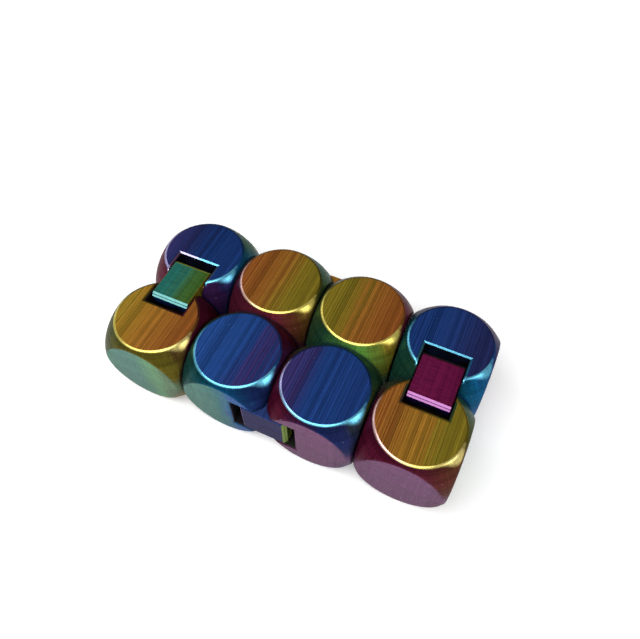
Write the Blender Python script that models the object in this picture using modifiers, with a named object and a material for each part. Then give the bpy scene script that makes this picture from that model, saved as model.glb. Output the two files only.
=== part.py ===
"""Infinity-cube folding puzzle: eight rounded cubes in a closed ring, joined by eight two-pin links.

Frame: origin at the centre of the footprint on the floor, +X along the long side, +Y to the back row,
+Z up. The puzzle lies flat, four cubes long and two cubes deep. Metres.
"""

from math import radians, sqrt

import bmesh
import bpy
from mathutils import Matrix, Vector

# Driving dimensions
PITCH = 0.0200             # distance between cube centres
CUBE_GAP = 0.0004          # free space between neighbouring flat faces
DISC_RADIUS = 0.0090       # radius of the round flat on each cube face
PIN_DEPTH = 0.00175        # pin axis below each of the two faces that a hinge joins
LINK_LENGTH = 0.0108       # end to end, half of it in each cube
LINK_WIDTH = 0.0090        # along the pins
LINK_CHAMFER = 0.0008      # across the ends of a link
LINK_EDGE = 0.0002         # small bevel on a link's edges
SLOT_SIDE_GAP = 0.0003     # beside a link, each side
SLOT_REACH = 0.0072        # slot into a cube, from the side face and from the outer face
SLOT_CORNER = 0.0036       # 45 degree cut-off in the slot's inner corner
PIN_ROOT_RADIUS = 0.0008   # conical pin where it leaves the link
PIN_TIP_RADIUS = 0.0003
PIN_LENGTH = 0.0011        # beyond the link's side
PIN_CLEARANCE = 0.0003     # between a pin and its socket, square to the cone

# Worked out
SIDE = PITCH - CUBE_GAP
SPHERE_RADIUS = sqrt((SIDE / 2) ** 2 + DISC_RADIUS ** 2)
SLOT_WIDTH = LINK_WIDTH + 2 * SLOT_SIDE_GAP
PIN_SPACING = 2 * PIN_DEPTH + CUBE_GAP
CUTTER_RISE = 0.001        # a cutter stands this far out of the face it cuts
SPHERE_SEGMENTS = 40
SPHERE_RINGS = 20
PIN_STEPS = 12

X = Vector((1, 0, 0))
Y = Vector((0, 1, 0))
Z = Vector((0, 0, 1))
ROWS = {"front": -0.5, "back": 0.5}
COLUMNS = {1: -1.5, 2: -0.5, 3: 0.5, 4: 1.5}

# link: first cube, second cube, direction from the first to the second, face that the link lies in
LINKS = {
    "link_front_12": ("cube_front_1", "cube_front_2", X, -Z),
    "link_front_23": ("cube_front_2", "cube_front_3", X, -Y),
    "link_front_34": ("cube_front_3", "cube_front_4", X, -Z),
    "link_back_12": ("cube_back_1", "cube_back_2", X, -Z),
    "link_back_23": ("cube_back_2", "cube_back_3", X, Y),
    "link_back_34": ("cube_back_3", "cube_back_4", X, -Z),
    "link_end_1": ("cube_front_1", "cube_back_1", Y, Z),
    "link_end_4": ("cube_front_4", "cube_back_4", Y, Z),
}

# moving body: the body it is hinged to, in the order of the chain from cube_front_2
CHAIN = {
    "link_front_12": "cube_front_2",
    "cube_front_1": "link_front_12",
    "link_end_1": "cube_front_1",
    "cube_back_1": "link_end_1",
    "link_back_12": "cube_back_1",
    "cube_back_2": "link_back_12",
    "link_back_23": "cube_back_2",
    "cube_back_3": "link_back_23",
    "link_back_34": "cube_back_3",
    "cube_back_4": "link_back_34",
    "link_front_23": "cube_front_2",
    "cube_front_3": "link_front_23",
    "link_front_34": "cube_front_3",
    "cube_front_4": "link_front_34",
    "link_end_4": "cube_front_4",
}

COLOURS = {
    "cube_front_1": (0.20, 0.13, 0.03),
    "cube_front_2": (0.02, 0.06, 0.34),
    "cube_front_3": (0.03, 0.10, 0.36),
    "cube_front_4": (0.19, 0.12, 0.04),
    "cube_back_1": (0.02, 0.04, 0.20),
    "cube_back_2": (0.18, 0.10, 0.03),
    "cube_back_3": (0.17, 0.11, 0.03),
    "cube_back_4": (0.03, 0.05, 0.24),
    "link_front_12": (0.03, 0.18, 0.14),
    "link_front_23": (0.14, 0.08, 0.20),
    "link_front_34": (0.20, 0.05, 0.11),
    "link_back_12": (0.03, 0.16, 0.15),
    "link_back_23": (0.22, 0.06, 0.13),
    "link_back_34": (0.18, 0.05, 0.12),
    "link_end_1": (0.03, 0.20, 0.15),
    "link_end_4": (0.24, 0.04, 0.10),
}


def clear_scene():
    for obj in list(bpy.data.objects):
        bpy.data.objects.remove(obj, do_unlink=True)


def new_collection(name):
    collection = bpy.data.collections.new(name)
    bpy.context.scene.collection.children.link(collection)
    return collection


def new_object(name, mesh, collection):
    obj = bpy.data.objects.new(name, mesh)
    collection.objects.link(obj)
    return obj


def claim_active(name, collection):
    """Name the primitive just added and move it to the given collection."""
    obj = bpy.context.active_object
    obj.name = name
    for old in list(obj.users_collection):
        old.objects.unlink(obj)
    collection.objects.link(obj)
    return obj


def hide_cutter(obj):
    obj.hide_render = True
    obj.display_type = "WIRE"


def boolean(obj, operation, other):
    modifier = obj.modifiers.new(operation.lower(), "BOOLEAN")
    modifier.operation = operation
    modifier.solver = "EXACT"
    modifier.object = other


def silk_plastic(name, colour):
    material = bpy.data.materials.new(name)
    material.use_nodes = True
    shader = material.node_tree.nodes["Principled BSDF"]
    shader.inputs["Base Color"].default_value = (*colour, 1.0)
    shader.inputs["Roughness"].default_value = 0.35
    shader.inputs["Metallic"].default_value = 0.1
    return material


def cube_centre(name):
    _, row, column = name.split("_")
    return Vector((COLUMNS[int(column)] * PITCH, ROWS[row] * PITCH, SIDE / 2))


def hinge_frame(link):
    """Axes of a link: x along it, y out of its face, z along its pins; origin on the outer face."""
    first, _, along, face = LINKS[link]
    origin = cube_centre(first) + along * PITCH / 2 + face * SIDE / 2
    pins = along.cross(face)
    frame = Matrix((along, face, pins)).transposed().to_4x4()
    frame.translation = origin
    return frame


def pin_frame(link, cube):
    """The hinge frame moved onto the axis of the pin in one of the link's two cubes."""
    first = LINKS[link][0]
    side = -1 if cube == first else 1
    return hinge_frame(link) @ Matrix.Translation((side * PIN_SPACING / 2, -PIN_DEPTH, 0))


def joint_frame(body):
    """The pin between a moving body and the body it is hinged to."""
    parent = CHAIN[body]
    link, cube = (body, parent) if body in LINKS else (parent, body)
    return pin_frame(link, cube)


def prism(name, outline, width, collection):
    """A flat outline in x and y, extruded to a width centred on z."""
    curve = bpy.data.curves.new(name, "CURVE")
    curve.dimensions = "2D"
    curve.fill_mode = "BOTH"
    curve.extrude = width / 2
    spline = curve.splines.new("POLY")
    spline.points.add(len(outline) - 1)
    for point, (x, y) in zip(spline.points, outline):
        point.co = (x, y, 0, 1)
    spline.use_cyclic_u = True
    guide = new_object(name + "_outline", curve, collection)
    bpy.context.view_layer.update()
    depsgraph = bpy.context.evaluated_depsgraph_get()
    mesh = bpy.data.meshes.new_from_object(guide.evaluated_get(depsgraph))
    bpy.data.objects.remove(guide, do_unlink=True)
    weld(mesh)
    return new_object(name, mesh, collection)


def weld(mesh):
    work = bmesh.new()
    work.from_mesh(mesh)
    bmesh.ops.remove_doubles(work, verts=work.verts, dist=1e-6)
    bmesh.ops.recalc_face_normals(work, faces=work.faces)
    work.to_mesh(mesh)
    work.free()


def spindle(name, half_length, tip_radius, shoulder, root_radius, collection):
    """A pin turned about z: straight between its shoulders, with a cone at each end."""
    profile = [
        (0, half_length),
        (tip_radius, half_length),
        (root_radius, shoulder),
        (root_radius, -shoulder),
        (tip_radius, -half_length),
        (0, -half_length),
    ]
    mesh = bpy.data.meshes.new(name)
    edges = [(i, i + 1) for i in range(len(profile) - 1)]
    mesh.from_pydata([(r, 0, z) for r, z in profile], edges, [])
    obj = new_object(name, mesh, collection)
    screw = obj.modifiers.new("turn", "SCREW")
    screw.axis = "Z"
    screw.angle = radians(360)
    screw.steps = PIN_STEPS
    screw.render_steps = PIN_STEPS
    screw.use_merge_vertices = True
    screw.merge_threshold = 1e-6
    return obj


def slot_cutter(link, cutters):
    """The slot that a link turns in, cut into both of its cubes."""
    reach = CUBE_GAP / 2 + SLOT_REACH
    inner = reach - SLOT_CORNER
    outline = [
        (-reach, CUTTER_RISE),
        (-reach, -SLOT_REACH + SLOT_CORNER),
        (-inner, -SLOT_REACH),
        (inner, -SLOT_REACH),
        (reach, -SLOT_REACH + SLOT_CORNER),
        (reach, CUTTER_RISE),
    ]
    cutter = prism("slot_" + link, outline, SLOT_WIDTH, cutters)
    cutter.matrix_world = hinge_frame(link)
    hide_cutter(cutter)
    return cutter


def socket_cutter(link, cube, cutters):
    """The two conical sockets for one pin, in the walls of the slot."""
    slope = (PIN_ROOT_RADIUS - PIN_TIP_RADIUS) / PIN_LENGTH
    widening = PIN_CLEARANCE * sqrt(1 + slope ** 2)
    half_length = LINK_WIDTH / 2 + PIN_LENGTH + PIN_CLEARANCE
    tip_radius = PIN_TIP_RADIUS + widening - slope * PIN_CLEARANCE
    shoulder = SLOT_WIDTH / 2 - SLOT_SIDE_GAP / 2
    root_radius = PIN_ROOT_RADIUS + widening - slope * (shoulder - LINK_WIDTH / 2)
    name = f"socket_{link}_{cube}"
    cutter = spindle(name, half_length, tip_radius, shoulder, root_radius, cutters)
    cutter.matrix_world = pin_frame(link, cube)
    hide_cutter(cutter)
    return cutter


def link_bar(link, parts, cutters):
    """A flat bar with chamfered ends and a conical pin on each side at both ends."""
    end = LINK_LENGTH / 2
    bottom = -2 * PIN_DEPTH
    outline = [
        (-end, -LINK_CHAMFER),
        (-end, bottom + LINK_CHAMFER),
        (-end + LINK_CHAMFER, bottom),
        (end - LINK_CHAMFER, bottom),
        (end, bottom + LINK_CHAMFER),
        (end, -LINK_CHAMFER),
        (end - LINK_CHAMFER, 0),
        (-end + LINK_CHAMFER, 0),
    ]
    bar = prism(link, outline, LINK_WIDTH, parts)
    bar.matrix_world = hinge_frame(link)
    bevel = bar.modifiers.new("edges", "BEVEL")
    bevel.width = LINK_EDGE
    bevel.segments = 1
    bevel.limit_method = "ANGLE"
    bevel.angle_limit = radians(60)
    for cube in LINKS[link][:2]:
        half_length = LINK_WIDTH / 2 + PIN_LENGTH
        pin = spindle(f"pin_{link}_{cube}", half_length, PIN_TIP_RADIUS, LINK_WIDTH / 2,
                      PIN_ROOT_RADIUS, cutters)
        pin.matrix_world = pin_frame(link, cube)
        hide_cutter(pin)
        boolean(bar, "UNION", pin)
    return bar


def rounded_cube(name, parts, cutters):
    """A cube whose corners and edges are turned off by a sphere, leaving a round flat on each face."""
    bpy.ops.mesh.primitive_cube_add(size=SIDE, location=cube_centre(name))
    cube = claim_active(name, parts)
    bpy.ops.mesh.primitive_uv_sphere_add(segments=SPHERE_SEGMENTS, ring_count=SPHERE_RINGS,
                                         radius=SPHERE_RADIUS, location=cube_centre(name))
    ball = claim_active("ball_" + name, cutters)
    hide_cutter(ball)
    boolean(cube, "INTERSECT", ball)
    return cube


def hang_on_axes(bodies, parts):
    """Put an empty on each joint axis and parent the pieces to them along the chain."""
    empties = {}
    for body, parent in CHAIN.items():
        empty = new_object("axis_" + body, None, parts)
        empty.empty_display_size = PIN_DEPTH
        place = joint_frame(body).translation
        holder = empties.get(parent)
        if holder is None:
            empty.parent = bodies[parent]
            empty.location = place - bodies[parent].location
        else:
            empty.parent = holder
            empty.location = place - joint_frame(parent).translation
        bodies[body].parent = empty
        bodies[body].location = bodies[body].location - place
        empties[body] = empty


def build():
    clear_scene()
    parts = new_collection("infinity_cube")
    cutters = new_collection("cutters")
    bodies = {}
    for row in ROWS:
        for column in COLUMNS:
            name = f"cube_{row}_{column}"
            bodies[name] = rounded_cube(name, parts, cutters)
    for link, (first, second, _, _) in LINKS.items():
        bodies[link] = link_bar(link, parts, cutters)
        slot = slot_cutter(link, cutters)
        for cube in (first, second):
            boolean(bodies[cube], "DIFFERENCE", slot)
            boolean(bodies[cube], "DIFFERENCE", socket_cutter(link, cube, cutters))
    for name, obj in bodies.items():
        obj.data.materials.append(silk_plastic("silk_" + name, COLOURS[name]))
        obj.data.shade_smooth()
        obj.data.set_sharp_from_angle(angle=radians(30))
    hang_on_axes(bodies, parts)
    bpy.context.view_layer.update()


build()
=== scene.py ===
"""Infinity cube in tri-colour silk filament, lying flat: fine meshes and printed-plastic materials."""

from math import atan2, cos, pi, radians, sin, sqrt

import bmesh
import bpy
from mathutils import Matrix, Vector


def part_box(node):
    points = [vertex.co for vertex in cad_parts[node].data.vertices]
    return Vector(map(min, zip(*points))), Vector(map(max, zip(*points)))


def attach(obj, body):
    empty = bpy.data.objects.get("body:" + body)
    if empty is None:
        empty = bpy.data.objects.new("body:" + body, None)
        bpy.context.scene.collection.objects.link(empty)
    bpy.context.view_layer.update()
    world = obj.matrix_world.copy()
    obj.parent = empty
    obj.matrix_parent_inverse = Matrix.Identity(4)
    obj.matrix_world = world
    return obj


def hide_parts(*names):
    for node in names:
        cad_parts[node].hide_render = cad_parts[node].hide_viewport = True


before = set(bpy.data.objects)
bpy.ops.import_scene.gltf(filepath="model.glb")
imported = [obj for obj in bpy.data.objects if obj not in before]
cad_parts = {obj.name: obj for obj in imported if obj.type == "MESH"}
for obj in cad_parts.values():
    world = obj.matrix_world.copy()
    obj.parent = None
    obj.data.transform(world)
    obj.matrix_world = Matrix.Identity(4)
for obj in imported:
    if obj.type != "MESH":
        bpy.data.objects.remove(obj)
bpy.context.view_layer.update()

# ---------------------------------------------------------------- driving sizes, as in the CAD (metres)
PITCH = 0.0200
CUBE_GAP = 0.0004
DISC_RADIUS = 0.0090
PIN_DEPTH = 0.00175
LINK_LENGTH = 0.0108
LINK_WIDTH = 0.0090
LINK_CHAMFER = 0.0008
SLOT_SIDE_GAP = 0.0003
SLOT_REACH = 0.0072
SLOT_CORNER = 0.0036
PIN_ROOT_RADIUS = 0.0008
PIN_TIP_RADIUS = 0.0003
PIN_LENGTH = 0.0011
PIN_CLEARANCE = 0.0003

# Worked out
HALF = (PITCH - CUBE_GAP) / 2
SPHERE_RADIUS = sqrt(HALF ** 2 + DISC_RADIUS ** 2)
SLOT_WIDTH = LINK_WIDTH + 2 * SLOT_SIDE_GAP
PIN_SPACING = 2 * PIN_DEPTH + CUBE_GAP

# Fine shape
RIM_RADIUS = 0.0009        # rounding between a flat and the sphere
RIM_STEPS = 6
SPHERE_STEPS = 6
TURN_STEPS = 96            # points round each flat
FLAT_RADIUS = sqrt((SPHERE_RADIUS - RIM_RADIUS) ** 2 - (HALF - RIM_RADIUS) ** 2)  # inside the rounding
SLOT_FLARES = [(0.00030, 0.00020), (0.00017, 0.00052)]  # rounded-over edge of a slot: depth, width
INSIDE_DEPTH = 0.00018     # faces deeper than this are in a slot
ROUND_FACING = 0.85        # a face of the sphere or the rim looks outwards at least this much
CUTTER_RISE = 0.001        # a cutter stands this far out of the face it cuts
CHAMFER_STEP = [(0, 1), (0.42, 0.62), (0.50, 0.42), (1, 0)]  # a chamfer's section, with a printed step
LINK_EDGE = 0.00012        # small bevel along the links' sides
LINK_EDGE_ANGLE = radians(65)  # which leaves the chamfers' own steps as they are
PIN_STEPS = 32
WELD = 1e-6
LAYER = 0.0002             # print layer height
LINE = 0.00042             # print line width
END_LINE = 0.00030         # lines on the ends of the links

X = Vector((1, 0, 0))
Y = Vector((0, 1, 0))
Z = Vector((0, 0, 1))

# link: its two cubes, direction from the first to the second, face that the link lies in
LINKS = {
    "link_front_12": ("cube_front_1", "cube_front_2", X, -Z),
    "link_front_23": ("cube_front_2", "cube_front_3", X, -Y),
    "link_front_34": ("cube_front_3", "cube_front_4", X, -Z),
    "link_back_12": ("cube_back_1", "cube_back_2", X, -Z),
    "link_back_23": ("cube_back_2", "cube_back_3", X, Y),
    "link_back_34": ("cube_back_3", "cube_back_4", X, -Z),
    "link_end_1": ("cube_front_1", "cube_back_1", Y, Z),
    "link_end_4": ("cube_front_4", "cube_back_4", Y, Z),
}
CUBES = [name for name in sorted(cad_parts) if name.startswith("cube_")]


# ---------------------------------------------------------------- places
def node_centre(name):
    low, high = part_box(name)
    return (low + high) / 2


def hinge_frame(link):
    """x along the link, y out of its face, z along its pins; origin on the outer face."""
    first, second, along, face = LINKS[link]
    origin = (node_centre(first) + node_centre(second)) / 2 + face * HALF
    matrix = Matrix((along, face, along.cross(face))).transposed().to_4x4()
    matrix.translation = origin
    return matrix


def pin_frame(link, side):
    """The hinge frame on a pin's axis; side is -1 in the first cube and 1 in the second."""
    return hinge_frame(link) @ Matrix.Translation((side * PIN_SPACING / 2, -PIN_DEPTH, 0))


# ---------------------------------------------------------------- mesh helpers
def mesh_object(name, work):
    mesh = bpy.data.meshes.new(name)
    work.to_mesh(mesh)
    work.free()
    obj = bpy.data.objects.new(name, mesh)
    bpy.context.scene.collection.objects.link(obj)
    return obj


def discard(obj):
    bpy.data.objects.remove(obj, do_unlink=True)


def combine(obj, operation, others):
    """Apply Booleans with the given cutters, then throw the cutters away."""
    for other in others:
        modifier = obj.modifiers.new(operation.lower(), "BOOLEAN")
        modifier.operation = operation
        modifier.solver = "EXACT"
        modifier.object = other
    bpy.context.view_layer.update()
    depsgraph = bpy.context.evaluated_depsgraph_get()
    mesh = bpy.data.meshes.new_from_object(obj.evaluated_get(depsgraph))
    obj.modifiers.clear()
    old = obj.data
    obj.data = mesh
    bpy.data.meshes.remove(old)
    for other in others:
        discard(other)


def prism(name, outline, half_width, matrix):
    """A flat outline in x and y, extruded to both sides along z."""
    work = bmesh.new()
    verts = [work.verts.new((x, y, -half_width)) for x, y in outline]
    base = work.faces.new(verts)
    moved = bmesh.ops.extrude_face_region(work, geom=[base])["geom"]
    tops = [v for v in moved if isinstance(v, bmesh.types.BMVert)]
    bmesh.ops.translate(work, verts=tops, vec=(0, 0, 2 * half_width))
    bmesh.ops.recalc_face_normals(work, faces=work.faces)
    bmesh.ops.transform(work, matrix=matrix, verts=work.verts)
    return mesh_object(name, work)


def spindle(name, half_length, tip_radius, shoulder, root_radius, matrix):
    """A pin turned about z with a cone at each end."""
    work = bmesh.new()
    rings = [(tip_radius, half_length), (root_radius, shoulder), (root_radius, -shoulder),
             (tip_radius, -half_length)]
    turns = [2 * pi * i / PIN_STEPS for i in range(PIN_STEPS)]
    loops = []
    for radius, height in rings:
        loops.append([work.verts.new((radius * cos(t), radius * sin(t), height)) for t in turns])
    for upper, lower in zip(loops, loops[1:]):
        for i in range(PIN_STEPS):
            j = (i + 1) % PIN_STEPS
            work.faces.new((upper[i], upper[j], lower[j], lower[i]))
    work.faces.new(loops[0])
    work.faces.new(loops[-1])
    bmesh.ops.recalc_face_normals(work, faces=work.faces)
    bmesh.ops.transform(work, matrix=matrix, verts=work.verts)
    return mesh_object(name, work)


# ---------------------------------------------------------------- cubes
def face_profile(turn):
    """Points (radius, height) of one face at a turn about its normal: rim rounding, then sphere."""
    inner = SPHERE_RADIUS - RIM_RADIUS
    centre_height = HALF - RIM_RADIUS
    centre_radius = sqrt(inner ** 2 - centre_height ** 2)
    rim_end = atan2(centre_radius, centre_height)
    points = []
    for i in range(RIM_STEPS + 1):
        angle = rim_end * i / RIM_STEPS
        radius = centre_radius + RIM_RADIUS * sin(angle)
        points.append((radius, centre_height + RIM_RADIUS * cos(angle)))
    border = atan2(1, max(abs(cos(turn)), abs(sin(turn))))
    for i in range(1, SPHERE_STEPS + 1):
        angle = rim_end + (border - rim_end) * i / SPHERE_STEPS
        points.append((SPHERE_RADIUS * sin(angle), SPHERE_RADIUS * cos(angle)))
    return points


def ball_cube(name):
    """A cube cut down by a sphere, with a rounded rim round each of its six round flats."""
    centre = node_centre(name)
    work = bmesh.new()
    for axis in range(3):
        for sign in (-1, 1):
            normal = Vector([sign if i == axis else 0 for i in range(3)])
            side = Vector([1 if i == (axis + 1) % 3 else 0 for i in range(3)])
            other = normal.cross(side)
            columns = []
            for i in range(TURN_STEPS):
                turn = 2 * pi * i / TURN_STEPS
                away = side * cos(turn) + other * sin(turn)
                columns.append([work.verts.new(centre + away * r + normal * h)
                                for r, h in face_profile(turn)])
            work.faces.new([column[0] for column in columns])
            for i in range(TURN_STEPS):
                here = columns[i]
                there = columns[(i + 1) % TURN_STEPS]
                for j in range(len(here) - 1):
                    work.faces.new((here[j], here[j + 1], there[j + 1], there[j]))
    bmesh.ops.remove_doubles(work, verts=work.verts, dist=WELD)
    bmesh.ops.recalc_face_normals(work, faces=work.faces)
    return mesh_object("ball_" + name, work)


def slot_cutters(link):
    """The slot, its flared edge, and the sockets for its pins."""
    matrix = hinge_frame(link)
    reach = CUBE_GAP / 2 + SLOT_REACH
    inner = reach - SLOT_CORNER
    outline = [
        (-reach, CUTTER_RISE),
        (-reach, -SLOT_REACH + SLOT_CORNER),
        (-inner, -SLOT_REACH),
        (inner, -SLOT_REACH),
        (reach, -SLOT_REACH + SLOT_CORNER),
        (reach, CUTTER_RISE),
    ]
    half = SLOT_WIDTH / 2
    cutters = [prism("cut", outline, half, matrix)]
    for depth, width in SLOT_FLARES:
        grow = width * (1 + CUTTER_RISE / depth)
        work = bmesh.new()
        bmesh.ops.create_cube(work, size=2)
        for v in work.verts:
            upper = v.co.y > 0
            v.co.x *= reach + (grow if upper else 0)
            v.co.z *= half + (grow if upper else 0)
            v.co.y = CUTTER_RISE if upper else -depth
        bmesh.ops.transform(work, matrix=matrix, verts=work.verts)
        cutters.append(mesh_object("cut", work))
    slope = (PIN_ROOT_RADIUS - PIN_TIP_RADIUS) / PIN_LENGTH
    widening = PIN_CLEARANCE * sqrt(1 + slope ** 2)
    shoulder = half - SLOT_SIDE_GAP / 2
    for side in (-1, 1):
        cutters.append(spindle(
            "cut",
            LINK_WIDTH / 2 + PIN_LENGTH + PIN_CLEARANCE,
            PIN_TIP_RADIUS + widening - slope * PIN_CLEARANCE,
            shoulder,
            PIN_ROOT_RADIUS + widening - slope * (shoulder - LINK_WIDTH / 2),
            pin_frame(link, side),
        ))
    return cutters


def shade_cube(obj, centre):
    """Smooth where the surface is the sphere or the rim, flat on the flats; slots take material 1."""
    for face in obj.data.polygons:
        away = face.center - centre
        height = max(abs(c) for c in away)
        depth = min(HALF - height, SPHERE_RADIUS - away.length)
        round_part = away.length_squared - height ** 2 > FLAT_RADIUS ** 2
        outwards = face.normal.dot(away.normalized()) > ROUND_FACING
        face.material_index = 1 if depth > INSIDE_DEPTH else 0
        face.use_smooth = round_part and outwards and depth < INSIDE_DEPTH


def make_cube(name):
    obj = ball_cube(name)
    obj.name = "printed_" + name
    cutters = []
    for link, (first, second, _, _) in LINKS.items():
        if name in (first, second):
            cutters += slot_cutters(link)
    combine(obj, "DIFFERENCE", cutters)
    return obj


# ---------------------------------------------------------------- links
def link_outline():
    """The bar seen from its side, from the lower left end anticlockwise."""
    end = LINK_LENGTH / 2
    bottom = -2 * PIN_DEPTH
    corner = [(dx * LINK_CHAMFER, dy * LINK_CHAMFER) for dx, dy in CHAMFER_STEP]
    lower_left = [(-end + dx, bottom + dy) for dx, dy in corner]
    lower_right = [(end - dx, bottom + dy) for dx, dy in reversed(corner)]
    upper_right = [(end - dx, -dy) for dx, dy in corner]
    upper_left = [(-end + dx, -dy) for dx, dy in reversed(corner)]
    return lower_left + lower_right + upper_right + upper_left


def make_link(link):
    obj = prism("printed_" + link, link_outline(), LINK_WIDTH / 2, hinge_frame(link))
    bevel = obj.modifiers.new("edges", "BEVEL")
    bevel.width = LINK_EDGE
    bevel.segments = 2
    bevel.limit_method = "ANGLE"
    bevel.angle_limit = LINK_EDGE_ANGLE
    pins = [spindle("pin", LINK_WIDTH / 2 + PIN_LENGTH, PIN_TIP_RADIUS, LINK_WIDTH / 2,
                    PIN_ROOT_RADIUS, pin_frame(link, side)) for side in (-1, 1)]
    combine(obj, "UNION", pins)
    return obj


# ---------------------------------------------------------------- colours
def srgb(red, green, blue):
    """A colour on the usual 0 to 255 scale, made linear."""
    scaled = [c / 255 for c in (red, green, blue)]
    return tuple(c / 12.92 if c <= 0.04045 else ((c + 0.055) / 1.055) ** 2.4 for c in scaled)


OLIVE = srgb(121, 106, 32)
GOLD = srgb(145, 102, 36)
BROWN = srgb(140, 92, 36)
BRICK = srgb(132, 70, 32)
BLUE = srgb(34, 68, 130)
ROYAL = srgb(30, 58, 116)
NAVY = srgb(22, 46, 96)
INDIGO = srgb(35, 42, 86)
VIOLET = srgb(54, 46, 98)
SEAFOAM = srgb(92, 146, 132)
LEAF = srgb(114, 170, 120)
LAGOON = srgb(70, 134, 130)
STEEL = srgb(40, 98, 168)
MAUVE = srgb(126, 74, 118)
ROSE = srgb(112, 60, 88)
DARK_OLIVE = srgb(74, 68, 20)
DARK_GOLD = srgb(98, 88, 30)
DARK_BROWN = srgb(72, 48, 24)
DARK_MOSS = srgb(58, 66, 28)
MEADOW = srgb(104, 166, 70)
FOREST = srgb(34, 72, 52)
DARK_TEAL = srgb(14, 62, 66)
PETROL = srgb(16, 80, 120)
MIDNIGHT = srgb(26, 40, 86)
AUBERGINE = srgb(54, 28, 70)
MAROON = srgb(74, 16, 38)
WINE = srgb(88, 30, 48)
RUSSET = srgb(84, 42, 34)
CLARET = srgb(114, 40, 54)
COPPER = srgb(98, 58, 34)
# Painted highlight colours, for the rims and the links' near chamfers
LEMON_HIGHLIGHT = srgb(250, 232, 120)
BLUSH_HIGHLIGHT = srgb(244, 200, 196)
CYAN_HIGHLIGHT = srgb(120, 214, 248)
LILAC_HIGHLIGHT = srgb(206, 200, 250)
CREAM_HIGHLIGHT = srgb(255, 234, 150)
# Painted shade for the inside of the slots
SLOT_SHADE_INK = srgb(8, 9, 16)
SPECK = (0.75, 0.78, 0.80)
PAPER = (0.93, 0.93, 0.93)
PALE_PAPER = (0.96, 0.96, 0.96)
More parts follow.
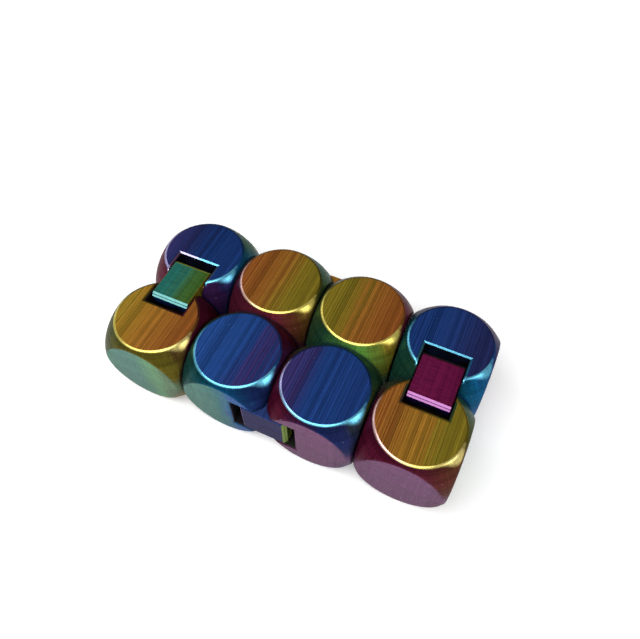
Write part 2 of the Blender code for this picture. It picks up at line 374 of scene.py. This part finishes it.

# Per cube: across the top from -X to +X; then by azimuth from +X, the walls, the shoulders and the
# painted rim highlights (bright where the rims catch the light, dark at the back)
LOOKS = {
    "cube_front_1": {
        "top": [(0.0, OLIVE), (0.35, GOLD), (0.6, BROWN), (1.0, BRICK)],
        "wall": [(0, MAROON), (90, RUSSET), (180, LEAF), (240, SEAFOAM), (265, SEAFOAM),
                 (290, LEAF), (330, WINE)],
        "shoulder": [(0, MAROON), (45, MAROON), (120, DARK_BROWN), (180, DARK_OLIVE),
                     (225, DARK_MOSS), (270, DARK_GOLD), (315, DARK_GOLD), (345, MAROON)],
        "rim": [(0, GOLD), (25, RUSSET), (165, DARK_OLIVE), (190, LEMON_HIGHLIGHT), (300, LEMON_HIGHLIGHT),
                (345, CREAM_HIGHLIGHT)],
    },
    "cube_front_2": {
        "top": [(0.0, BLUE), (0.45, BLUE), (0.6, ROYAL), (0.7, VIOLET), (0.8, VIOLET),
                (0.88, ROYAL), (1.0, NAVY)],
        "wall": [(0, MAROON), (90, RUSSET), (180, FOREST), (240, SEAFOAM), (265, LAGOON),
                 (290, STEEL), (312, STEEL), (340, AUBERGINE)],
        "shoulder": [(0, AUBERGINE), (45, MAROON), (120, DARK_BROWN), (180, FOREST),
                     (245, DARK_TEAL), (275, PETROL), (315, MIDNIGHT), (335, MIDNIGHT),
                     (350, AUBERGINE)],
        "rim": [(0, STEEL), (25, NAVY), (165, PETROL), (195, CYAN_HIGHLIGHT), (310, CYAN_HIGHLIGHT), (345, CYAN_HIGHLIGHT)],
    },
    "cube_front_3": {
        "top": [(0.0, INDIGO), (0.12, VIOLET), (0.22, VIOLET), (0.34, ROYAL), (0.6, ROYAL),
                (1.0, ROYAL)],
        "wall": [(0, FOREST), (90, FOREST), (180, MAROON), (240, MAUVE), (300, MAUVE),
                 (330, INDIGO)],
        "shoulder": [(0, DARK_MOSS), (45, FOREST), (120, FOREST), (180, MAROON), (240, MAROON),
                     (285, MIDNIGHT), (315, INDIGO), (345, DARK_MOSS)],
        "rim": [(0, STEEL), (25, NAVY), (165, NAVY), (195, LILAC_HIGHLIGHT), (260, CYAN_HIGHLIGHT), (345, CYAN_HIGHLIGHT)],
    },
    "cube_front_4": {
        "top": [(0.0, BRICK), (0.3, BROWN), (0.42, GOLD), (0.6, GOLD), (0.72, OLIVE), (1.0, OLIVE)],
        "wall": [(0, LEAF), (90, FOREST), (180, MAROON), (240, MAUVE), (300, MAUVE), (335, RUSSET)],
        "shoulder": [(0, DARK_OLIVE), (45, FOREST), (120, FOREST), (180, MAROON), (240, MAROON),
                     (285, WINE), (315, RUSSET), (345, DARK_BROWN)],
        "rim": [(0, OLIVE), (25, OLIVE), (165, BROWN), (190, BLUSH_HIGHLIGHT), (240, BLUSH_HIGHLIGHT), (280, LEMON_HIGHLIGHT),
                (345, CREAM_HIGHLIGHT)],
    },
    "cube_back_1": {
        "top": [(0.0, VIOLET), (0.25, INDIGO), (0.5, NAVY), (1.0, ROYAL)],
        "wall": [(0, LAGOON), (90, SEAFOAM), (180, ROSE), (240, MAUVE), (300, VIOLET), (330, NAVY)],
        "shoulder": [(0, PETROL), (45, FOREST), (120, DARK_TEAL), (180, MAROON), (240, WINE),
                     (285, AUBERGINE), (315, AUBERGINE), (335, MIDNIGHT)],
        "rim": [(0, STEEL), (25, NAVY), (160, INDIGO), (185, LILAC_HIGHLIGHT), (240, LILAC_HIGHLIGHT), (290, CYAN_HIGHLIGHT),
                (345, CYAN_HIGHLIGHT)],
    },
    "cube_back_2": {
        "top": [(0.0, BRICK), (0.45, BROWN), (0.7, OLIVE), (1.0, OLIVE)],
        "wall": [(0, FOREST), (90, LAGOON), (180, ROSE), (250, MAUVE), (300, ROSE), (330, RUSSET)],
        "shoulder": [(0, DARK_MOSS), (45, FOREST), (120, DARK_TEAL), (180, MAROON), (240, WINE),
                     (285, CLARET), (315, COPPER), (345, DARK_GOLD)],
        "rim": [(0, OLIVE), (25, DARK_OLIVE), (165, BROWN), (190, BLUSH_HIGHLIGHT), (230, BLUSH_HIGHLIGHT),
                (270, LEMON_HIGHLIGHT), (345, LEMON_HIGHLIGHT)],
    },
    "cube_back_3": {
        "top": [(0.0, OLIVE), (0.3, OLIVE), (0.5, BROWN), (1.0, BRICK)],
        "wall": [(0, MAROON), (90, MAUVE), (180, FOREST), (250, LAGOON), (300, LEAF),
                 (330, RUSSET)],
        "shoulder": [(0, WINE), (45, MAROON), (120, AUBERGINE), (180, DARK_MOSS), (240, FOREST),
                     (288, MEADOW), (325, OLIVE), (352, WINE)],
        "rim": [(0, GOLD), (25, BRICK), (165, OLIVE), (190, LEMON_HIGHLIGHT), (300, LEMON_HIGHLIGHT), (345, LEMON_HIGHLIGHT)],
    },
    "cube_back_4": {
        "top": [(0.0, NAVY), (0.35, ROYAL), (0.75, INDIGO), (1.0, INDIGO)],
        "wall": [(0, MAUVE), (90, MAUVE), (180, FOREST), (250, LAGOON), (300, STEEL), (330, STEEL)],
        "shoulder": [(0, INDIGO), (45, AUBERGINE), (120, AUBERGINE), (180, DARK_TEAL),
                     (240, FOREST), (285, DARK_TEAL), (320, PETROL), (350, NAVY)],
        "rim": [(0, STEEL), (25, INDIGO), (165, NAVY), (190, CYAN_HIGHLIGHT), (345, CYAN_HIGHLIGHT)],
    },
}

# Paint, relative to how bright each region looks in the studio light
TOP_GAIN = 1.46
WALL_GAIN = 0.62
SHOULDER_GAIN = 0.9

# Silk plastic
METALLIC = 0.45
LINK_METALLIC = 0.25
SPECULAR = 0.0             # its clear gloss is faint beside its metallic sheen
ROUGHNESS = (0.24, 0.36)
LINK_ROUGHNESS = (0.26, 0.38)
LINING_ROUGHNESS = 0.6
LINING_SPECULAR = 0.2
LINE_BUMP = 0.00002        # how far the printed lines and layers stand out
LINING_BUMP = 0.00003
SPECK_DENSITY = 34.0       # cells across a cube pitch

# Where one region of a cube gives way to the next, by the upward part of the normal
TOP_EDGE = (0.95, 0.995)
SHOULDER_EDGE = (0.05, 0.30)
SMOOTH_EDGE = (0.45, 0.66)     # the printed layers fade out here, towards the rim
# The painted rim highlight: its band by the upward part of the normal and by height, how much it covers,
# and the rims' metal and polish
RIM_TOP = (0.965, 0.995)
RIM_BOTTOM = 0.76
RIM_BLUR = (-0.05, 0.03)
RIM_HEIGHT = (0.22, 0.30)      # above the cube's centre, in pitches: the highlight is painted only on the upper rims
HIGHLIGHT_COVER = 0.85
RIM_METALLIC = 0.60
RIM_POLISH = 0.05              # how much less rough the rims are

# The painted rim highlight spreads down the shoulder to the right of the front
HIGHLIGHT_FLARE_TURN = -0.07             # turns from +X
HIGHLIGHT_FLARE_WIDTH = 0.07
HIGHLIGHT_FLARE_DROP = 0.10

# The painted highlight on the edges at the sides of a slot is dimmer than on its far edge
SLOT_SIDE_FACING = (0.12, 0.25)
SLOT_SIDE_HIGHLIGHT_DIMMING = 0.9


# ---------------------------------------------------------------- node helpers
class Graph:
    """Short calls for building a material's nodes."""

    def __init__(self, name):
        self.material = bpy.data.materials.new(name)
        self.material.use_nodes = True
        self.tree = self.material.node_tree
        self.shader = self.tree.nodes["Principled BSDF"]

    def link(self, source, target):
        self.tree.links.new(source, target)

    def fill(self, socket, value):
        if isinstance(value, bpy.types.NodeSocket):
            self.link(value, socket)
        else:
            socket.default_value = value

    def math(self, operation, a, b=0.0):
        node = self.tree.nodes.new("ShaderNodeMath")
        node.operation = operation
        self.fill(node.inputs[0], a)
        self.fill(node.inputs[1], b)
        return node.outputs[0]

    def span(self, value, low, high, to_low=0.0, to_high=1.0, smooth=True):
        node = self.tree.nodes.new("ShaderNodeMapRange")
        node.interpolation_type = "SMOOTHSTEP" if smooth else "LINEAR"
        self.fill(node.inputs["Value"], value)
        node.inputs["From Min"].default_value = low
        node.inputs["From Max"].default_value = high
        node.inputs["To Min"].default_value = to_low
        node.inputs["To Max"].default_value = to_high
        return node.outputs["Result"]

    def spread(self, value, low, high):
        """A value from 0 to 1, taken to low to high."""
        return self.span(value, 0, 1, low, high, False)

    def vary(self, noise, low, high, reach=0.2):
        """A noise, which keeps near 0.5, taken to low to high."""
        return self.span(noise, 0.5 - reach, 0.5 + reach, low, high, False)

    def vector(self, x, y, z):
        node = self.tree.nodes.new("ShaderNodeCombineXYZ")
        for socket, value in zip(node.inputs, (x, y, z)):
            self.fill(socket, value)
        return node.outputs[0]

    def parts(self, vector):
        node = self.tree.nodes.new("ShaderNodeSeparateXYZ")
        self.link(vector, node.inputs[0])
        return node.outputs[0], node.outputs[1], node.outputs[2]

    def noise(self, vector, scale, detail):
        node = self.tree.nodes.new("ShaderNodeTexNoise")
        self.link(vector, node.inputs["Vector"])
        node.inputs["Scale"].default_value = scale
        node.inputs["Detail"].default_value = detail
        return node.outputs[0]

    def white(self, value):
        node = self.tree.nodes.new("ShaderNodeTexWhiteNoise")
        node.noise_dimensions = "1D"
        self.link(value, node.inputs["W"])
        return node.outputs["Value"]

    def ramp(self, value, stops):
        node = self.tree.nodes.new("ShaderNodeValToRGB")
        self.link(value, node.inputs[0])
        elements = node.color_ramp.elements
        while len(elements) > 1:
            elements.remove(elements[-1])
        elements[0].position = stops[0][0]
        elements[0].color = (*stops[0][1], 1)
        for position, colour in stops[1:]:
            elements.new(position).color = (*colour, 1)
        return node.outputs[0]

    def mix(self, fac, a, b):
        node = self.tree.nodes.new("ShaderNodeMix")
        node.data_type = "RGBA"
        self.fill(node.inputs[0], fac)
        self.fill(node.inputs[6], a if isinstance(a, bpy.types.NodeSocket) else (*a, 1))
        self.fill(node.inputs[7], b if isinstance(b, bpy.types.NodeSocket) else (*b, 1))
        return node.outputs[2]

    def scaled(self, colour, factor):
        """A colour times a varying brightness."""
        node = self.tree.nodes.new("ShaderNodeVectorMath")
        node.operation = "SCALE"
        self.link(colour, node.inputs[0])
        self.link(factor, node.inputs["Scale"])
        return node.outputs[0]

    def times(self, *factors):
        """The product of several values."""
        product = factors[0]
        for factor in factors[1:]:
            product = self.math("MULTIPLY", product, factor)
        return product

    def ridges(self, value, width):
        """Rounded ridges, width in metres and value in cube pitches: 0 between them, 1 on them."""
        return self.math("ABSOLUTE", self.math("SINE", self.math("MULTIPLY", value, pi * PITCH / width)))

    def step(self, value, width):
        """Which printed line or layer a value in cube pitches is in."""
        return self.math("FLOOR", self.math("MULTIPLY", value, PITCH / width))

    def specks(self, place, size, rarity):
        """Small round spots, in a few of the cells of a grid."""
        node = self.tree.nodes.new("ShaderNodeTexVoronoi")
        self.link(place, node.inputs["Vector"])
        node.inputs["Scale"].default_value = SPECK_DENSITY
        chosen = self.math("GREATER_THAN", self.parts(node.outputs["Color"])[0], rarity)
        return self.math("MULTIPLY", chosen, self.math("LESS_THAN", node.outputs["Distance"], size))

    def bump(self, height, distance, strength):
        node = self.tree.nodes.new("ShaderNodeBump")
        node.inputs["Strength"].default_value = strength
        node.inputs["Distance"].default_value = distance
        self.link(height, node.inputs["Height"])
        self.link(node.outputs[0], self.shader.inputs["Normal"])

    def place(self, centre):
        """Object-space position from a centre, in cube pitches, and the object-space normal."""
        coordinates = self.tree.nodes.new("ShaderNodeTexCoord")
        move = self.tree.nodes.new("ShaderNodeVectorMath")
        move.operation = "SUBTRACT"
        self.link(coordinates.outputs["Object"], move.inputs[0])
        move.inputs[1].default_value = centre
        scale = self.tree.nodes.new("ShaderNodeVectorMath")
        scale.operation = "SCALE"
        self.link(move.outputs[0], scale.inputs[0])
        scale.inputs["Scale"].default_value = 1 / PITCH
        return scale.outputs[0], coordinates.outputs["Normal"]


def round_stops(stops):
    """Azimuth stops in degrees as a ramp that closes on itself."""
    points = [(angle / 360, colour) for angle, colour in stops]
    return points + [(1.0, stops[0][1])]


def cube_top(g, x, y, colours):
    """Printed lines side by side across X, each with its own shade, and thin dark gaps between them."""
    line_shade = g.white(g.math("ADD", g.step(x, LINE), 0.5))
    fine_shade = g.white(g.step(x, LINE / 2))
    stretched = g.vector(g.math("MULTIPLY", g.step(x, LINE), 3.7), g.math("MULTIPLY", y, 6), 0.0)
    along = g.noise(stretched, 1.0, 2.0)
    drift = g.noise(g.vector(g.math("MULTIPLY", x, 6), g.math("MULTIPLY", y, 0.7), 0.0), 1.0, 3.0)
    across = g.math("ADD", g.math("ADD", x, 0.5), g.vary(drift, -0.08, 0.08, 0.3))
    across = g.math("ADD", across, g.spread(fine_shade, -0.09, 0.09))
    dark_lines = g.span(g.white(g.math("ADD", fine_shade, 3.0)), 0.0, 0.35, 0.55, 1.0)
    gaps = g.span(g.ridges(x, LINE), 0.0, 0.5, 0.74, 1.05)
    light = g.times(g.spread(line_shade, 0.90, 1.08), g.spread(fine_shade, 0.80, 1.20), dark_lines, gaps,
                    g.vary(along, 0.90, 1.10, 0.25), TOP_GAIN)
    return g.scaled(g.ramp(across, colours), light), line_shade


def rim_highlight_mask(g, place, normal, turn):
    """Where the rim highlight is painted: 1 on the rims that catch the light and in their flare, and 0
    elsewhere.
    """
    x, y, z = place
    sideways, _, up = normal
    past_flare = g.math("ABSOLUTE", g.math("SUBTRACT", turn, HIGHLIGHT_FLARE_TURN))
    flare = g.span(past_flare, 0.0, HIGHLIGHT_FLARE_WIDTH, 1.0, 0.0)
    bottom = g.math("ADD", RIM_BOTTOM, g.math("MULTIPLY", flare, -HIGHLIGHT_FLARE_DROP))
    band = g.times(g.span(g.math("SUBTRACT", up, bottom), *RIM_BLUR), g.span(up, *RIM_TOP, 1.0, 0.0),
                   g.span(z, *RIM_HEIGHT))
    from_middle = g.math("SQRT", g.math("ADD", g.math("MULTIPLY", x, x), g.math("MULTIPLY", y, y)))
    on_flat = g.span(from_middle, FLAT_RADIUS / PITCH - 0.01, FLAT_RADIUS / PITCH, 1.0, 0.0)
    slot_side = g.span(g.math("ABSOLUTE", sideways), *SLOT_SIDE_FACING, 0.0, SLOT_SIDE_HIGHLIGHT_DIMMING)
    return g.math("MULTIPLY", band, g.math("SUBTRACT", 1.0, g.math("MULTIPLY", on_flat, slot_side)))


def silk_cube(name):
    """Tri-colour silk plastic: printed lines on top, layers round the walls and shoulders."""
    look = LOOKS[name]
    g = Graph("silk_" + name)
    place, normal = g.place(node_centre(name))
    x, y, z = g.parts(place)
    facing = g.parts(normal)
    slope = g.math("ABSOLUTE", facing[2])
    flat = g.span(slope, *TOP_EDGE)
    top, line_shade = cube_top(g, x, y, look["top"])

    turn = g.math("DIVIDE", g.math("ARCTAN2", y, x), 2 * pi)
    sway = g.noise(g.vector(x, y, g.math("MULTIPLY", z, 0.6)), 9.0, 3.0)
    angle = g.math("FRACT", g.math("ADD", turn, g.vary(sway, 0.97, 1.03, 0.3)))
    layer_shade = g.white(g.math("ADD", g.step(z, LAYER), 0.5))
    upright = g.noise(g.vector(g.math("MULTIPLY", turn, 160), g.math("MULTIPLY", z, 3), 0.0), 1.0, 3.0)
    # Painted shade: the walls are darker towards the bottom
    wall_light = g.times(g.vary(upright, 0.88, 1.12), g.span(z, -0.45, 0.35, 0.8, 1.05, False), WALL_GAIN)
    wall = g.scaled(g.ramp(angle, round_stops(look["wall"])), wall_light)
    shoulder_light = g.math("MULTIPLY", g.vary(upright, 0.8, 1.2), SHOULDER_GAIN)
    shoulder = g.scaled(g.ramp(angle, round_stops(look["shoulder"])), shoulder_light)
    side = g.mix(g.span(slope, *SHOULDER_EDGE), wall, shoulder)
    side = g.scaled(side, g.spread(layer_shade, 0.80, 1.18))

    # Painted highlight: the upper rims, and the shoulder below them at the front right, take the bright
    # rim colours
    rim = rim_highlight_mask(g, (x, y, z), facing, turn)
    rim_highlight_colour = g.scaled(g.ramp(angle, round_stops(look["rim"])), g.vary(upright, 0.8, 1.0))
    colour = g.mix(g.math("MULTIPLY", rim, HIGHLIGHT_COVER), g.mix(flat, side, top), rim_highlight_colour)
    colour = g.scaled(colour, g.vary(g.noise(place, 90.0, 2.0), 0.88, 1.12))
    colour = g.mix(g.specks(place, 0.07, 0.965), colour, SPECK)
    g.link(colour, g.shader.inputs["Base Color"])
    metallic = g.math("ADD", METALLIC, g.math("MULTIPLY", rim, RIM_METALLIC - METALLIC))
    g.link(metallic, g.shader.inputs["Metallic"])
    uneven = g.math("ADD", g.math("MULTIPLY", line_shade, 0.5), g.math("MULTIPLY", layer_shade, 0.5))
    roughness = g.math("ADD", g.spread(uneven, *ROUGHNESS), g.math("MULTIPLY", rim, -RIM_POLISH))
    g.link(roughness, g.shader.inputs["Roughness"])
    g.shader.inputs["Specular IOR Level"].default_value = SPECULAR

    layered = g.span(slope, *SMOOTH_EDGE, 1.0, 0.0)
    height = g.math("ADD", g.math("MULTIPLY", flat, g.ridges(x, LINE)),
                    g.math("MULTIPLY", layered, g.ridges(z, LAYER)))
    g.bump(height, LINE_BUMP, 0.5)
    return g.material


def shaded_slot_lining(name):
    """Painted shade inside a cube's slots: the rougher plastic there painted dark, with its layers
    showing.
    """
    g = Graph("lining_" + name)
    place, _ = g.place(node_centre(name))
    _, _, z = g.parts(place)
    layer_shade = g.white(g.step(z, LAYER))
    patch = g.span(g.noise(place, 5.0, 3.0), 0.35, 0.65)
    colour = g.mix(patch, SLOT_SHADE_INK, LOOKS[name]["shoulder"][-1][1])
    g.link(g.scaled(colour, g.spread(layer_shade, 0.12, 0.30)), g.shader.inputs["Base Color"])
    g.shader.inputs["Roughness"].default_value = LINING_ROUGHNESS
    g.shader.inputs["Specular IOR Level"].default_value = LINING_SPECULAR
    g.bump(layer_shade, LINING_BUMP, 0.6)
    return g.material


# Per link, from its low side to its high side along X, Y or Z: two colours across the flat face and one
# for each end's chamfer, which is a painted highlight there (pale at the near end, lime at the far end of
# link_end_1 and link_front_23); then the sides and the ends, the ends of link_front_23 painted lit lime
LINK_LOOKS = {
    "link_end_1": (srgb(40, 110, 100), srgb(62, 96, 40), srgb(150, 240, 240), srgb(150, 160, 60), OLIVE,
                   srgb(20, 44, 92)),
    "link_end_4": (srgb(104, 24, 66), srgb(96, 20, 60), srgb(236, 160, 236), WINE, MAROON,
                   srgb(30, 20, 60)),
    "link_front_23": (srgb(40, 36, 76), srgb(44, 42, 80), srgb(152, 124, 172), srgb(122, 142, 56),
                      srgb(40, 58, 108), srgb(112, 130, 52)),
    "link_back_23": (ROSE, MAROON, BLUSH_HIGHLIGHT, LEAF, GOLD, AUBERGINE),
    "link_front_12": (LAGOON, FOREST, CYAN_HIGHLIGHT, DARK_OLIVE, FOREST, NAVY),
    "link_back_12": (LAGOON, STEEL, CYAN_HIGHLIGHT, DARK_OLIVE, FOREST, NAVY),
    "link_front_34": (ROSE, MAROON, LILAC_HIGHLIGHT, WINE, MAROON, AUBERGINE),
    "link_back_34": (MAROON, ROSE, LILAC_HIGHLIGHT, WINE, MAROON, AUBERGINE),
}


def silk_link(name):
    """The same plastic on a link: lines along its flat face, painted highlights on the chamfers, layered
    ends.
    """
    low_face, high_face, near_chamfer_highlight, far, side, end = LINK_LOOKS[name]
    _, _, along, outward = LINKS[name]
    g = Graph("silk_" + name)
    place, normal = g.place(node_centre(name))
    position = dict(zip("xyz", g.parts(place)))
    facing = dict(zip("xyz", g.parts(normal)))
    long_axis = "x" if abs(along.x) > 0.5 else "y"
    out_axis = "z" if abs(outward.z) > 0.5 else "y"
    cross_axis = (set("xyz") - {long_axis, out_axis}).pop()
    lengthwise = position[long_axis]
    crosswise = position[cross_axis]
    out = g.math("ABSOLUTE", facing[out_axis])
    flat = g.span(out, 0.90, 0.97)

    line_shade = g.white(g.math("ADD", g.step(crosswise, LINE), 0.5))
    fine_shade = g.white(g.step(crosswise, LINE / 2))
    stretched = g.vector(g.math("MULTIPLY", crosswise, 6), g.math("MULTIPLY", lengthwise, 60), 0.0)
    cross_shade = g.noise(stretched, 1.0, 2.0)
    where = g.math("ADD", crosswise, g.spread(fine_shade, -0.06, 0.06))
    dark_lines = g.span(fine_shade, 0.0, 0.25, 0.75, 1.0)
    face_light = g.times(g.spread(line_shade, 0.86, 1.14), dark_lines, g.vary(cross_shade, 0.74, 1.26))
    face = g.scaled(g.mix(g.span(where, -0.16, 0.16), low_face, high_face), face_light)

    on_end = g.span(g.math("ABSOLUTE", facing[long_axis]), 0.8, 0.95)
    end_shade = g.white(g.step(position[out_axis], END_LINE))
    end_light = g.math("MULTIPLY", on_end, g.spread(end_shade, -0.7, 0.3))
    side_light = g.math("ADD", g.vary(cross_shade, 0.7, 1.3), end_light)
    bar = g.mix(flat, g.scaled(g.mix(on_end, side, end), side_light), face)

    # Painted highlight on the chamfers: pale at the near end, and lime at the far end on link_end_1 and
    # link_front_23
    chamfer_start = (LINK_LENGTH / 2 - LINK_CHAMFER) / PITCH
    past_start = g.math("GREATER_THAN", g.math("ABSOLUTE", lengthwise), chamfer_start)
    chamfer = g.times(past_start, g.span(out, 0.50, 0.66), HIGHLIGHT_COVER)
    tip = g.mix(g.math("GREATER_THAN", lengthwise, 0.0), near_chamfer_highlight, far)
    colour = g.mix(g.specks(place, 0.08, 0.96), g.mix(chamfer, bar, tip), SPECK)
    g.link(colour, g.shader.inputs["Base Color"])
    g.shader.inputs["Metallic"].default_value = LINK_METALLIC
    g.shader.inputs["Specular IOR Level"].default_value = SPECULAR
    g.link(g.spread(line_shade, *LINK_ROUGHNESS), g.shader.inputs["Roughness"])
    g.bump(g.math("MULTIPLY", flat, g.ridges(crosswise, LINE)), LINE_BUMP, 0.5)
    return g.material


# ---------------------------------------------------------------- pieces
def add_pieces():
    for name in CUBES + list(LINKS):
        if name.startswith("cube_"):
            piece = make_cube(name)
            piece.data.materials.append(silk_cube(name))
            piece.data.materials.append(shaded_slot_lining(name))
            shade_cube(piece, node_centre(name))
        else:
            piece = make_link(name)
            piece.data.materials.append(silk_link(name))
        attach(piece, name)
        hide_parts(name)


# ---------------------------------------------------------------- stage
CAMERA_AZIMUTH = 24.4      # degrees from straight in front, towards +X
CAMERA_HEIGHT = 55.6       # degrees above the table
CAMERA_DISTANCE = 6.76 * PITCH
CAMERA_TARGET = Vector((-0.007 * PITCH, 0.484 * PITCH, 0.5 * PITCH))
CAMERA_LENS = 32.3
ROOM_LEVEL = 0.10          # what the puzzle reflects above the table
BACKDROP_LEVEL = 1.02      # what the camera sees there
FLOOR_HALF_SIZE = 1.5
FLOOR_GLOW = 0.22          # keeps the white table white in the soft light near the puzzle
FLOOR_NEAR = 2.5           # in cube pitches: from here outwards the light on the table falls off,
FLOOR_FAR = 14.0           # and from here the table is as bright as the backdrop by itself

# area lights, all turned to the puzzle: position, size, power
LIGHTS = {
    "overhead": ((-0.06, -0.24, 0.58), (0.80, 0.44), 4.6),
    "right": ((0.38, -0.06, 0.19), (0.14, 0.20), 0.30),
    "left": ((-0.37, 0.135, 0.308), (0.24, 0.14), 0.17),
}
LIGHT_TARGET = Vector((0, 0, 0.01))


def add_camera():
    """The photo's camera."""
    azimuth = radians(CAMERA_AZIMUTH)
    height = radians(CAMERA_HEIGHT)
    away = Vector((sin(azimuth) * cos(height), -cos(azimuth) * cos(height), sin(height)))
    data = bpy.data.cameras.new("camera")
    data.lens = CAMERA_LENS
    data.sensor_width = 36
    data.clip_start = 0.005
    camera = bpy.data.objects.new("camera", data)
    bpy.context.scene.collection.objects.link(camera)
    camera.location = CAMERA_TARGET + away * CAMERA_DISTANCE
    camera.rotation_euler = (-away).to_track_quat("-Z", "Y").to_euler()
    bpy.context.scene.camera = camera


def add_lights():
    for name, (position, size, power) in LIGHTS.items():
        data = bpy.data.lights.new(name, "AREA")
        data.shape = "RECTANGLE"
        data.size, data.size_y = size
        data.energy = power
        light = bpy.data.objects.new(name, data)
        bpy.context.scene.collection.objects.link(light)
        light.location = position
        light.rotation_euler = (LIGHT_TARGET - Vector(position)).to_track_quat("-Z", "Y").to_euler()


def floor_paper():
    """White paper with the light's fall-off made up for, and clear from underneath."""
    g = Graph("floor_paper")
    place, _ = g.place((0, 0, 0))
    grain = g.noise(place, 8.0, 4.0)
    g.link(g.mix(grain, PAPER, PALE_PAPER), g.shader.inputs["Base Color"])
    g.shader.inputs["Roughness"].default_value = 0.9
    g.shader.inputs["Specular IOR Level"].default_value = 0.1
    g.shader.inputs["Emission Color"].default_value = (1, 1, 1, 1)
    distance = g.tree.nodes.new("ShaderNodeVectorMath")
    distance.operation = "LENGTH"
    g.link(place, distance.inputs[0])
    glow = g.span(distance.outputs["Value"], FLOOR_NEAR, FLOOR_FAR, FLOOR_GLOW, BACKDROP_LEVEL)
    g.link(glow, g.shader.inputs["Emission Strength"])
    underneath = g.tree.nodes.new("ShaderNodeNewGeometry").outputs["Backfacing"]
    clear = g.tree.nodes.new("ShaderNodeBsdfTransparent")
    either = g.tree.nodes.new("ShaderNodeMixShader")
    g.link(underneath, either.inputs[0])
    g.link(g.shader.outputs[0], either.inputs[1])
    g.link(clear.outputs[0], either.inputs[2])
    g.link(either.outputs[0], g.tree.nodes["Material Output"].inputs["Surface"])
    return g.material


def add_floor():
    work = bmesh.new()
    bmesh.ops.create_grid(work, x_segments=1, y_segments=1, size=FLOOR_HALF_SIZE)
    floor = mesh_object("floor", work)
    floor.data.materials.append(floor_paper())


def add_world():
    """A dim room to reflect, seen by the camera as a white backdrop."""
    world = bpy.data.worlds.new("studio")
    bpy.context.scene.world = world
    world.use_nodes = True
    tree = world.node_tree
    background = tree.nodes["Background"]
    background.inputs["Color"].default_value = (1, 1, 1, 1)
    seen = tree.nodes.new("ShaderNodeLightPath")
    level = tree.nodes.new("ShaderNodeMapRange")
    tree.links.new(seen.outputs["Is Camera Ray"], level.inputs["Value"])
    level.inputs["To Min"].default_value = ROOM_LEVEL
    level.inputs["To Max"].default_value = BACKDROP_LEVEL
    tree.links.new(level.outputs["Result"], background.inputs["Strength"])


add_camera()
add_pieces()
add_floor()
add_world()
add_lights()
bpy.context.scene.view_settings.view_transform = "Standard"
